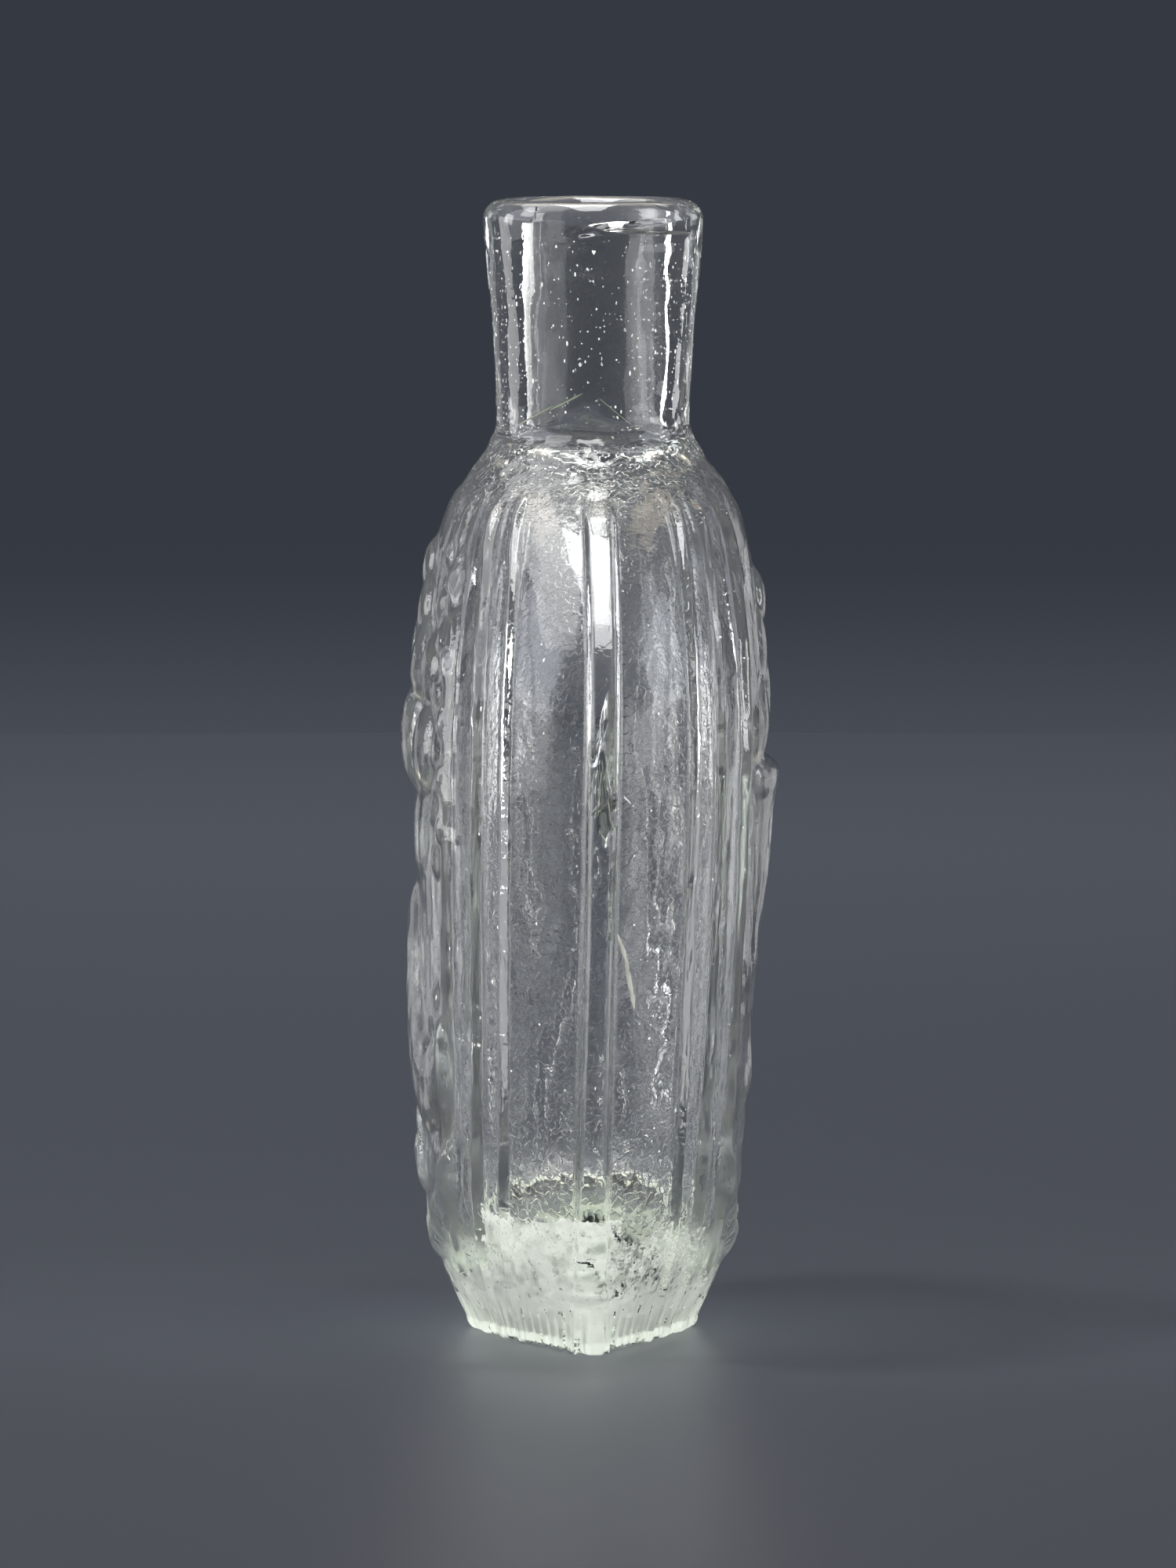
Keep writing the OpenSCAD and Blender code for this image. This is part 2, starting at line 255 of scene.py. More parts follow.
# %% Lamps
# name: place, aim, width, height, watts
SOFT_BOXES = {
    # the bright lines in the glass
    "left_box": ((-0.585, 0.205, 0.15), (0, 0, 0.15), 0.17, 0.26, 0.45),
    "right_box": ((0.58, 0.28, 0.13), (0, 0, 0.13), 0.10, 0.18, 0.25),
    "overhead_box": ((-0.025, 0.125, 0.85), (-0.025, 0.125, 0.10), 0.27, 0.73, 6.0),
    "left_bank": ((-0.31, 0.21, 0.85), (0, 0, 0.10), 0.80, 0.42, 3.3),
    # large and dim, for the thick glass to show
    "left_wall": ((-1.00, 0.00, 0.70), (0, 0, 0.08), 0.75, 0.9, 4.8),
    "right_wall": ((1.00, 0.00, 0.70), (0, 0, 0.08), 0.6, 0.9, 4.2),
    "left_low": ((-1.20, 0.00, 0.22), (0, 0, 0.10), 0.8, 0.45, 1.5),
    "right_low": ((1.12, -0.40, 0.22), (0, 0, 0.10), 1.0, 0.45, 2.6),
    "back_card": ((0.0, 0.70, 1.00), (0, 0, 0.10), 0.9, 0.5, 2.4),
    # small and low, where the ribs look through the glass
    "rear_left": ((-0.19, 0.33, 0.05), (0, 0, 0.05), 0.15, 0.10, 0.022),
    "rear_right": ((0.19, 0.33, 0.05), (0, 0, 0.05), 0.15, 0.10, 0.022),
    "low_left": ((-0.14, 0.055, 0.035), (0, 0, 0.05), 0.07, 0.07, 0.006),
    "low_right": ((0.14, 0.055, 0.035), (0, 0, 0.05), 0.07, 0.07, 0.006),
    # for the table alone
    "table_top": ((0.0, 0.95, 0.80), (0, 0.95, 0), 0.8, 0.6, 2.2),
    "table_left": ((-0.26, -0.05, 0.62), (0, 0, 0.02), 0.14, 0.14, 0.40),
    "table_right": ((0.16, -0.05, 0.66), (0, 0, 0.02), 0.14, 0.14, 0.16),
    # for what lies inside the glass alone
    "inner_near_left": ((-0.11, -0.12, 0.08), (0, -0.02, 0.01), 0.08, 0.05, 0.36),
    "inner_near_right": ((0.11, -0.12, 0.08), (0, -0.02, 0.01), 0.08, 0.05, 0.35),
    "inner_far_left": ((-0.11, 0.12, 0.08), (0, 0.02, 0.01), 0.08, 0.05, 0.28),
    "inner_far_right": ((0.11, 0.12, 0.08), (0, 0.02, 0.01), 0.08, 0.05, 0.28),
}
# The inner lamps are a little lilac, against the green that light gains on its way through the glass.
LAMP_TINTS = {
    "back_card": "#FFF0D6", "left_wall": "#F1F5FF", "right_wall": "#F1F5FF", "inner": "#F7EAFF",
}


def make_lamps():
    lamps = {}
    for name, (place, aim, width, height, watts) in SOFT_BOXES.items():
        data = bpy.data.lights.new(name, "AREA")
        data.shape = "RECTANGLE"
        data.size = width
        data.size_y = height
        data.energy = watts
        family = "inner" if name.startswith("inner") else name
        data.color = linear(LAMP_TINTS.get(family, "#FFFFFF"))[:3]
        lamp = bpy.data.objects.new(name, data)
        bpy.context.collection.objects.link(lamp)
        lamp.location = place
        sight = Vector(aim) - Vector(place)
        lamp.rotation_euler = sight.to_track_quat("-Z", "Y").to_euler()
        lamp.visible_camera = False
        lamps[name] = lamp
    return lamps


lamps = make_lamps()
print("lamps:", len(lamps))

# %% Paths of light
# Light crosses up to four walls and turns back inside thick glass, so its paths have to be long.
scene = bpy.context.scene
scene.view_settings.view_transform = "Standard"
scene.cycles.max_bounces = 24
scene.cycles.transmission_bounces = 24
scene.cycles.glossy_bounces = 8
scene.cycles.caustics_reflective = False

# %% [markdown]
# ## The lines of the flask
#
# A glassmaker's mould is described by a few lines: how thick and how wide the flask is at each height, and
# how pointed its section is. The same lines shape the solids. Between the given heights a smooth curve runs
# through them.

# %% Outline
BODY_T = 42.4
BODY_W = 98.0
NECK_D = 23.6
# share of the height, share of the thickness, share of the width, squareness of the section
OUTLINE = np.array([
    [0.00, 0.68, 0.66, 1.15],
    [0.04, 0.77, 0.69, 1.35],
    [0.09, 0.86, 0.73, 1.60],
    [0.16, 0.92, 0.78, 1.75],
    [0.28, 0.95, 0.86, 1.85],
    [0.48, 0.98, 0.97, 2.00],
    [0.66, 1.00, 1.00, 2.00],
    [0.76, 0.98, 0.95, 2.00],
    [0.85, 0.93, 0.77, 2.00],
    [0.91, 0.88, 0.57, 2.00],
    [0.96, 0.75, 0.37, 2.00],
    [1.00, NECK_D / BODY_T, NECK_D / BODY_W, 2.00],
])
EDGE_SHARE = 0.78


def ease(v):
    t = np.clip(v, 0, 1)
    return t * t * (3 - 2 * t)


def along(table, s, column):
    """A smooth curve through a column of a table, read at s in its first column."""
    at, value = table[:, 0], table[:, column]
    last = len(at) - 1
    slopes = np.array([
        (value[min(last, i + 1)] - value[max(0, i - 1)]) / (at[min(last, i + 1)] - at[max(0, i - 1)])
        for i in range(last + 1)
    ])
    i = np.clip(np.searchsorted(at, s, side="left") - 1, 0, last - 1)
    span = at[i + 1] - at[i]
    t = np.clip((s - at[i]) / span, 0, 1)
    hump = t * (1 - t)
    between = value[i] * (1 - ease(t)) + value[i + 1] * ease(t)
    return between + span * hump * ((1 - t) * slopes[i] - t * slopes[i + 1])


def share(z):
    return (z - FOOT_TOP) / (NECK_ROOT - FOOT_TOP)


def half_t(z):
    return BODY_T / 2 * along(OUTLINE, share(z), 1)


def half_w(z):
    return BODY_W / 2 * along(OUTLINE, share(z), 2)


def squareness(z):
    return along(OUTLINE, share(z), 3)


def drift(z):
    return FOOT_X + (NECK_X - FOOT_X) * ease(z / NECK_ROOT)


def arch(s, p):
    return np.maximum(0, 1 - np.abs(s) ** p) ** (1 / p)


print("heights with a given section:", len(OUTLINE))

# %% [markdown]
# ## Grain
#
# Old moulds were cut by hand and ran cold, so the glass that touched them is never even. A lattice of
# seeded random values, read smoothly between its points, gives a ripple of any size in millimetres.

# %% Ripples
LATTICE_STEPS = 64
AXIS_SHIFT = 17.3
LATTICE = np.random.default_rng(1825).uniform(-1, 1, (LATTICE_STEPS,) * 3)


def ripple(x, y, z, size, turn=0.0):
    """Smooth random values from -1 to 1. size is in millimetres, one number or one for each axis."""
    size = np.broadcast_to(np.array(size, float), (3,))
    place = [
        np.asarray(v, float) / step + AXIS_SHIFT * (k + 1) + turn
        for k, (v, step) in enumerate(zip((x, y, z), size))
    ]
    place = np.broadcast_arrays(*place)
    cell = [np.floor(v).astype(int) for v in place]
    part = [ease(v - c) for v, c in zip(place, cell)]
    total = 0
    for corner in range(8):
        step = [corner & 1, corner >> 1 & 1, corner >> 2 & 1]
        index = tuple((c + s) % LATTICE_STEPS for c, s in zip(cell, step))
        weight = 1
        for s, w in zip(step, part):
            weight = weight * (w if s else 1 - w)
        total = total + weight * LATTICE[index]
    return total


print("random values in the lattice:", LATTICE.size)

# %% [markdown]
# ## Ribs
#
# Each narrow edge carries a heavy flat-topped rib where the mould's two halves met, and three narrow ribs
# on each side of it. They stop short of the neck, where the glass left the mould.

# %% Rib heights
MEDIAL_W = 4.4
MEDIAL_H = 1.6
RIB_H = 0.8
RIB_SHARES = (0.54, 0.70, 0.86)
RIB_HALF = 0.035
RIB_TOP = 104.0
RIB_FADE = 2.0


def medial_rib(x):
    return MEDIAL_H * (1 - ease((np.abs(x) - MEDIAL_W / 4) / (MEDIAL_W / 4)))


def narrow_ribs(s):
    height = 0
    for at in RIB_SHARES:
        u = np.clip((np.abs(s) - at) / RIB_HALF, -1, 1)
        height = np.maximum(height, (1 + np.cos(np.pi * u)) / 2)
    return RIB_H * height


def rib_fade(z):
    return ease((RIB_TOP - z) / RIB_FADE)


print("ribs on each narrow edge:", 1 + 2 * len(RIB_SHARES))

# %% [markdown]
# ## Ornament
#
# The relief is a height over the broad face, built the way a mould cutter works: round pits for fruit, a
# sweep of pits that shrink along a curve for the horn, a turned outline for the urn, and a spray of leaves.

# %% Fruit, horn, urn and leaves
RELIEF_H = 2.3
# fruit: across, up, radius, share of the relief
HORN_FRUIT = [
    (-2, 74, 6.8, 1.00), (9, 73, 5.6, 0.80), (-13, 73, 5.4, 0.75), (-6, 83.5, 5.2, 0.80),
    (4, 85, 4.8, 0.70), (13, 82, 4.4, 0.60), (-14, 83, 4.2, 0.55), (-2, 90, 4.0, 0.65),
    (1, 95, 3.4, 0.60), (0, 62, 5.0, 0.30), (10, 61, 4.6, 0.30), (-10, 62, 4.6, 0.28),
    (9, 25, 4.2, 0.50), (2, 21, 4.0, 0.50), (12, 18, 3.6, 0.40),
]
URN_FRUIT = [
    (0, 79.5, 5.6, 0.50), (-10, 76.5, 5.0, 0.42), (10, 76.5, 5.0, 0.42), (-17, 75, 3.8, 0.35),
    (17, 75, 3.8, 0.35), (-6, 85.5, 4.6, 0.40), (6, 85.5, 4.6, 0.40), (0, 91, 3.8, 0.60),
]
# the horn's middle line, from its mouth to its tip: across, up, radius, share of the relief
HORN = np.array([
    [8, 47, 8.6, 0.74], [5, 41, 8.0, 0.72], [-1, 35, 7.0, 0.62], [-9, 31, 5.6, 0.50],
    [-16, 32, 4.0, 0.42], [-20, 37, 2.8, 0.36], [-17, 43, 1.7, 0.30],
])
# the urn's outline: up, half width, share of the relief
URN = np.array([
    [29, 10, 0.20], [32, 8, 0.25], [34, 3.2, 0.18], [38, 3.2, 0.18], [43, 8, 0.20],
    [50, 12.5, 0.34], [57, 15, 0.65], [63, 15.5, 0.70], [66.5, 16, 0.78], [68.5, 18, 0.95],
    [71, 18, 0.90],
])
# small berries beside the ribs, on the horn's face only: across, up, radius, share of the relief
BERRIES = [
    (side * across, up, radius, 0.32)
    for side in (-1, 1)
    for across, up, radius in [
        (20, 60, 2.4), (23, 64, 2.2), (19, 66, 2.5), (23, 70, 2.3), (20, 73, 2.4), (23, 77, 2.2),
        (19, 80, 2.5), (22, 84, 2.2), (18, 87, 2.4), (14, 91, 2.3), (19, 94, 2.0), (13, 97, 2.1),
    ]
]
# leaves: across, up, lean in degrees
LEAVES = [(side * (4 + 5 * k), 12 + 3.2 * k, side * (62 - 8 * k)) for side in (-1, 1) for k in range(4)]
LEAF_LONG, LEAF_WIDE, LEAF_SHARE = 5.0, 2.1, 0.45
print("fruit on the horn's face:", len(HORN_FRUIT + BERRIES), "and on the urn's:", len(URN_FRUIT))

# %% Heights of the ornament


def dome(d):
    return np.sqrt(np.maximum(0, 1 - d * d))


def fruit(pieces, y, z):
    height = 0
    for across, up, radius, high in pieces:
        height = np.maximum(height, high * dome(np.hypot(y - across, z - up) / radius))
    return height


def horn(y, z):
    height = 0
    for start, end in zip(HORN[:-1], HORN[1:]):
        for k in range(12):
            across, up, radius, high = start + (end - start) * k / 12
            height = np.maximum(height, high * dome(np.hypot(y - across, z - up) / radius))
    return height


def urn(y, z):
    inside = (z >= URN[0, 0]) & (z <= URN[-1, 0])
    body = along(URN, z, 2) * dome(np.abs(y) / along(URN, z, 1))
    return np.where(inside, body, 0)


def leaves(y, z):
    height = 0
    for across, up, lean in LEAVES:
        a = math.radians(lean)
        u = (y - across) * math.sin(a) + (z - up) * math.cos(a)
        v = (y - across) * math.cos(a) - (z - up) * math.sin(a)
        height = np.maximum(height, LEAF_SHARE * dome(np.hypot(u / LEAF_LONG, v / LEAF_WIDE)))
    return height


def cornucopia(y, z):
    return RELIEF_H * np.maximum.reduce([fruit(HORN_FRUIT + BERRIES, y, z), horn(y, z), leaves(y, z)])


def urn_of_fruit(y, z):
    return RELIEF_H * np.maximum.reduce([fruit(URN_FRUIT, y, z), urn(y, z), leaves(y, z)])


# %% [markdown]
# ## The outer skin
#
# The skin is a stack of closed loops. In each loop the points follow the ribs and the ornament from edge to
# face to edge to face, so a rib is always a line of points and stays crisp.

# %% Columns
# The ribs wander by these shares of the half thickness, slowly and fast, and they are worn by this share.
WANDER_SLOW, WANDER_FAST, WORN = 0.012, 0.004, 0.10
EDGE_CELLS = 130
FACE_CELLS = 176
edge_angles = np.linspace(-1, 1, EDGE_CELLS + 1)[:-1] * math.asin(EDGE_SHARE)
edge_shares = np.sin(edge_angles)
face_shares = np.linspace(-1, 1, FACE_CELLS + 1)[:-1]


def skin_loop(z, raise_by=1.0):
    """The outer skin at height z, as an array of x and y in millimetres."""
    a, b, p = half_t(z), half_w(z), squareness(z)
    loop = []
    for side in (-1, 1):
        s = edge_shares * -side
        x, y = s * a, b * arch(s, p)
        out = np.array([np.sign(s) * np.abs(s) ** (p - 1) / a, (y / b) ** (p - 1) / b])
        wander = WANDER_SLOW * ripple(0, side * 9, z, 7) + WANDER_FAST * ripple(0, side * 9, z, 2)
        worn = 1 + WORN * ripple(x, y, z, (3, 3, 9), 41)
        height = np.maximum(medial_rib(x), narrow_ribs(s + wander) * worn) * rib_fade(z) * raise_by
        out = out / np.hypot(*out) * height
        loop.append(np.stack([drift(z) + x + out[0], side * (y + out[1])], 1))
        reach = arch(EDGE_SHARE, p)
        t = face_shares * -side
        y = t * reach * b
        across = arch(t * reach, p)
        raised = cornucopia(y, z) if side > 0 else urn_of_fruit(y, z)
        margin = ease((1 - np.abs(t)) * 8)
        x = a * across + (raised * margin + narrow_ribs(across) * rib_fade(z)) * raise_by
        loop.append(np.stack([drift(z) - side * x, y], 1))
    return np.concatenate(loop)


def round_loop(radius, centre_x):
    """A round loop whose points match the skin's, column by column."""
    root = skin_loop(NECK_ROOT, 0.0) - [drift(NECK_ROOT), 0]
    angle = np.arctan2(root[:, 1], root[:, 0])
    return np.stack([centre_x + radius * np.cos(angle), radius * np.sin(angle)], 1)


COLUMNS = 2 * (EDGE_CELLS + FACE_CELLS)
print("columns round the flask:", COLUMNS)

# %% [markdown]
# ## The inside
#
# The blowpipe's breath leaves the inside smooth: it knows nothing of the mould's detail, and it is round
# where the mould has corners. The glass is thickest in the heel and along the edges.

# %% Cavity
FACE_WALL = 3.2
EDGE_WALL = 4.4
FLOOR_CURVE_T, FLOOR_CURVE_W = 10, 20


def rounded(z, reach):
    return np.sqrt(1 - (1 - np.clip((z - WALL_LOW + 2) / reach, 0, 1)) ** 2)


def cavity_loop(z, share_of=1.0):
    a = max(BORE_R, (half_t(z) - FACE_WALL) * rounded(z, FLOOR_CURVE_T)) * share_of
    b = max(BORE_R, (half_w(z) - EDGE_WALL) * rounded(z, FLOOR_CURVE_W)) * share_of
    reach = arch(EDGE_SHARE, 2)
    loop = []
    for side in (-1, 1):
        s = edge_shares * -side
        loop.append(np.stack([drift(z) + s * a, side * b * arch(s, 2)], 1))
        t = face_shares * -side
        loop.append(np.stack([drift(z) - side * a * arch(t * reach, 2), t * reach * b], 1))
    return np.concatenate(loop)


# %% [markdown]
# ## Closing the skin
#
# The loops run from the middle of the foot, out to the heel, up the outside, over the rim, down the bore
# and the cavity, and end in the middle of the floor. Each loop remembers which part of the flask it is in.

# %% Stack of loops
NECK_SWEEP = 1.6
LIP_ROUND_IN = 0.2
HEEL_R = 1.4
RECESS_R = 10.0
SCAR_RING = 1.6
BODY_LOOPS, NECK_LOOPS, BORE_LOOPS, CAVITY_LOOPS = 216, 90, 40, 110
loops, parts = [], []


def stack(part, loop, z):
    loops.append(np.column_stack([loop, np.full(len(loop), z)]))
    parts.append(part)


def neck_radius(z):
    t = (z - NECK_ROOT) / (LIP_LOW - NECK_ROOT)
    return NECK_D / 2 + (LIP_R - LIP_ROUND_IN - NECK_D / 2) * np.clip(t, 0, 1) ** NECK_SWEEP


def shrunk(loop, by):
    """A loop drawn in by a distance, towards the foot's middle."""
    spoke = loop - [FOOT_X, 0.0]
    far = np.hypot(*spoke.T)[:, None]
    return [FOOT_X, 0.0] + spoke * (far - by) / far


# %% Foot and heel
foot_rim = skin_loop(FOOT_TOP)
foot_spokes = (foot_rim - [FOOT_X, 0]) / np.hypot(*(foot_rim - [FOOT_X, 0]).T)[:, None]
scar_in = SCAR_R - SCAR_RING
for r, z in [(1.5, SCAR_HIGH), (3, SCAR_HIGH), (4.5, SCAR_HIGH), (scar_in - 0.6, SCAR_HIGH)]:
    stack("recess", [FOOT_X, 0] + foot_spokes * r, z)
for r in np.linspace(scar_in, SCAR_R, 9):
    stack("scar", [FOOT_X, 0] + foot_spokes * r, SCAR_LOW)
for r, z in [(SCAR_R + 0.5, SCAR_HIGH), (RECESS_R - 0.6, SCAR_HIGH), (RECESS_R, SCAR_HIGH * 0.5)]:
    stack("recess", [FOOT_X, 0] + foot_spokes * r, z)
for k in range(1, 9):
    ring = [FOOT_X, 0] + foot_spokes * (RECESS_R + 0.4)
    stack("foot", ring + (shrunk(foot_rim, HEEL_R) - ring) * (k - 1) / 8, 0.0)
for k in range(7):
    a = math.pi / 2 * k / 6
    stack("heel", shrunk(foot_rim, HEEL_R * (1 - math.sin(a))), HEEL_R * (1 - math.cos(a)))

# %% Body, neck and rim
for z in np.linspace(FOOT_TOP, NECK_ROOT, BODY_LOOPS):
    stack("body", skin_loop(z), z)
for z in np.linspace(NECK_ROOT, LIP_LOW, NECK_LOOPS)[1:]:
    stack("neck", round_loop(neck_radius(z), NECK_X), z)
rim_r = (LIP_R - BORE_R) / 2
for z in np.linspace(LIP_LOW, TOP - rim_r, 8)[1:]:
    t = (z - LIP_LOW) / (TOP - rim_r - LIP_LOW)
    stack("lip", round_loop(LIP_R - LIP_ROUND_IN * (1 - t), NECK_X), z)
for k in range(1, 20):
    a = math.pi * k / 20
    stack("lip", round_loop(BORE_R + rim_r * (1 + math.cos(a)), NECK_X), TOP - rim_r + rim_r * math.sin(a))

# %% Bore and cavity
for z in np.linspace(TOP - rim_r, NECK_ROOT, BORE_LOOPS):
    stack("bore", round_loop(BORE_R, NECK_X), z)
for z in np.linspace(NECK_ROOT, WALL_LOW, CAVITY_LOOPS)[1:]:
    stack("cavity", cavity_loop(z), z)
for k in range(1, 10):
    stack("cavity", cavity_loop(WALL_LOW, 1 - k / 10), WALL_LOW)
grid = np.array(loops)
part_of = np.array(parts)
print("loops:", len(grid), "points:", grid.shape[0] * grid.shape[1])

# %% [markdown]
# ## Soft corners
#
# Thick glass doesn't fill a mould's sharp corners. Moving each point part of the way to the middle of its
# neighbours, a few times over, eases the relief by about a millimetre. Many passes over the few loops at the
# neck's root let the neck flow into the shoulder over about five.

# %% Soft corners
RELIEF_PASSES = 5
ROOT_PASSES = 60
ROOT_LOOPS = 8.0
column = np.arange(COLUMNS) % (EDGE_CELLS + FACE_CELLS)
on_face = ease((column - EDGE_CELLS) / 6) * ease((EDGE_CELLS + FACE_CELLS - column) / 6)
on_body = (part_of == "body") * ease((grid[:, 0, 2] - 3) / 3)
soft = 0.5 * on_body[:, None] * on_face
for k in range(RELIEF_PASSES):
    eased = (np.roll(grid, 1, 0) + np.roll(grid, -1, 0) + np.roll(grid, 1, 1) + np.roll(grid, -1, 1)) / 4
    grid = grid + soft[..., None] * (eased - grid) * [1, 1, 0]

root = np.argmax(part_of == "neck")
near_root = np.exp(-((np.arange(len(grid)) - root) / ROOT_LOOPS) ** 2)[:, None, None]
for k in range(ROOT_PASSES):
    eased = (np.roll(grid, 1, 0) + np.roll(grid, -1, 0)) / 2
    grid = grid + 0.5 * near_root * (eased - grid) * [1, 1, 0]
print("relief eased", RELIEF_PASSES, "times, the root of the neck", ROOT_PASSES, "times")

# %% [markdown]
# ## Marks of the making
#
# The mould ran cold, so the glass is pebbled where it touched the metal, crumpled at the shoulder where it
# chilled first, and waved on the inside where only air shaped it. The neck left the mould hot: it is smooth
# but lapped, with a fold below the rim and a gable where the seam ends. All of it moves the skin along its
# own normal by tenths of a millimetre.

# %% Directions out of the glass


def outward(grid):
    around = np.roll(grid, -1, 1) - np.roll(grid, 1, 1)
    up = np.gradient(grid, axis=0)
    normal = np.cross(around, up)
    return normal / np.maximum(np.linalg.norm(normal, axis=2, keepdims=True), 1e-9)


# %% Folds
SEAM_X = -0.8
GABLE_TOP, GABLE_SLOPE, GABLE_FADE = 115.4, 0.48, 4.0
# lines of points, across and up
LIP_FOLD = [
    [(-5.4, 134.8), (-1.3, 136.4), (3.3, 136.6), (11.4, 136.4)],
    [(-1.3, 136.4), (0.4, 137.2), (4.2, 137.8), (9.0, 137.4), (11.4, 137.6)],
]


def crease(x, z, line, width):
    """1 along a line of points and 0 away from it."""
    near = np.full(np.shape(x), 1e9)
    for (x0, z0), (x1, z1) in zip(line[:-1], line[1:]):
        length = (x1 - x0) ** 2 + (z1 - z0) ** 2
        t = np.clip(((x - x0) * (x1 - x0) + (z - z0) * (z1 - z0)) / length, 0, 1)
        near = np.minimum(near, np.hypot(x - x0 - t * (x1 - x0), z - z0 - t * (z1 - z0)))
    return np.exp(-((near / width) ** 2))


def gable(x, z):
    """The end of the seam: a low tent whose ridge reaches up the neck, on both narrow sides."""
    roof = GABLE_TOP - GABLE_SLOPE * np.abs(x - SEAM_X)
    roof = roof + 0.8 * ripple(x, 0, z, 2.5) + 0.9 * ripple(x, 0, z, 6, 3)
    return ease((roof - z) / GABLE_FADE)


# %% Flutes of the heel
HEEL_PITCH = 2.1
steps = np.hypot(*(np.roll(foot_rim, -1, 0) - foot_rim).T)
arc = np.concatenate([[0], np.cumsum(steps)[:-1]])
turns = round(steps.sum() / HEEL_PITCH)
print("flutes round the heel:", turns)
heel_wave = 0.5 + 0.5 * np.cos(2 * math.pi * turns * arc / steps.sum())
rib_columns = np.concatenate([
    np.concatenate([
        np.maximum(medial_rib(edge_shares * BODY_T / 2), narrow_ribs(edge_shares)),
        narrow_ribs(arch(face_shares * arch(EDGE_SHARE, 2), 2)),
    ])
    for side in (-1, 1)
])

# %% Marks of the mould
# how far each mark moves the skin, in millimetres
PEBBLE_FINE, PEBBLE_BROAD, PEBBLE_LOW, PEBBLE_SIDE = 0.016, 0.045, 0.075, 0.11
CRUMPLE_FINE, CRUMPLE_BROAD, HEEL_FLUTE = 0.21, 0.16, 0.40
CHILL_Z, CHILL_REACH = 107.5, 7.5
x, y, z = np.moveaxis(grid, 2, 0)
row = part_of[:, None]
crumple = ease(1.15 - np.abs(z - CHILL_Z) / CHILL_REACH)
pebble = PEBBLE_FINE * ripple(x, y, z, (1.5, 1.5, 1.9)) + PEBBLE_BROAD * ripple(x, y, z, (7, 7, 11), 5)
pebble += PEBBLE_LOW * ripple(x, y, z, 1.0, 19) * ease((31 - z) / 8) * ease((z - 12) / 6)
pebble += (
    PEBBLE_SIDE * ripple(x, y, z, (2.2, 2.2, 2.8), 23)
    * ease((np.abs(x) - 13) / 3) * ease((102 - z) / 6)
)
shoulder = CRUMPLE_FINE * ripple(x, y, z, (2.1, 2.1, 1.4), 9)
shoulder = shoulder + CRUMPLE_BROAD * ripple(x, y, z, (5, 5, 3), 13)
move = np.isin(row, ["heel", "body", "neck"]) * (pebble + crumple * shoulder)
move -= np.isin(row, ["heel", "body"]) * HEEL_FLUTE * heel_wave * ease((8 - z) / 6)
print("marks of the mould:", round(float(move.min()), 2), "to", round(float(move.max()), 2), "mm")

# %% Marks of the neck and the lip
NECK_BROAD, NECK_FINE, SEAM_TENT = 0.16, 0.05, 0.20
FOLD_H, FOLD_WIDE, LIP_WAVE = 0.22, 0.45, 0.08
laps = NECK_BROAD * ripple(x, y, z, (6, 6, 14), 2) + NECK_FINE * ripple(x, y, z, (2.5, 2.5, 5), 4)
move += (row == "neck") * laps
move += (row == "neck") * SEAM_TENT * gable(x, z) * ease((9 - np.abs(x - SEAM_X)) / 6)
for line in LIP_FOLD:
    move += np.isin(row, ["neck", "lip"]) * (y < 0) * FOLD_H * crease(x, z, line, FOLD_WIDE)
move += (row == "lip") * LIP_WAVE * ripple(x, y, z, (4, 4, 3), 6)

# %% Marks inside and under the foot
# The inside follows the ribs faintly: the glass is pushed out a little behind each of them.
BORE_BROAD, BORE_FINE, CAVITY_BROAD, CAVITY_FINE = 0.16, 0.04, 0.20, 0.03
RIB_ECHO, SCAR_BREAK = 0.35, 0.45
drawn = BORE_BROAD * ripple(x, y, z, (6, 6, 12), 8) + BORE_FINE * ripple(x, y, z, (2, 2, 3), 1)
move += (row == "bore") * drawn
inside = CAVITY_BROAD * ripple(x, y, z, (7, 7, 15), 3) + CAVITY_FINE * ripple(x, y, z, (2.4, 2.4, 4), 12)
move += (row == "cavity") * (inside - RIB_ECHO * rib_columns * ease((z - 14) / 10) * rib_fade(z))
move -= (row == "scar") * SCAR_BREAK * np.abs(ripple(x, y, z, 1.1, 15))
grid = grid + outward(grid) * move[..., None]
grid = np.clip(grid, BOX_LOW, BOX_HIGH)
print("skin moved by", round(float(move.min()), 2), "to", round(float(move.max()), 2), "mm")


# %% Mesh from loops
# Each neighbouring pair of loops is joined by quads, and a fan of triangles closes each end.


def mesh_of_loops(name, grid, bottom, top):
    rows, columns = grid.shape[:2]
    index = np.arange(rows * columns).reshape(rows, columns)
    right = np.roll(index, -1, axis=1)
    quads = np.stack([index[:-1], right[:-1], right[1:], index[1:]], -1).reshape(-1, 4)
    low, high = rows * columns, rows * columns + 1
    fans = [(int(right[0, c]), int(index[0, c]), low) for c in range(columns)]
    fans += [(int(index[-1, c]), int(right[-1, c]), high) for c in range(columns)]
    return new_piece(name, np.concatenate([grid.reshape(-1, 3), [bottom], [top]]), quads.tolist() + fans)


def new_piece(name, points, faces):
    """A smooth mesh from points in millimetres."""
    mesh = bpy.data.meshes.new(name)
    mesh.from_pydata((np.asarray(points) * MM).tolist(), [], faces)
    mesh.polygons.foreach_set("use_smooth", [True] * len(mesh.polygons))
    mesh.update()
    piece = bpy.data.objects.new(name, mesh)
    bpy.context.collection.objects.link(piece)
    return piece


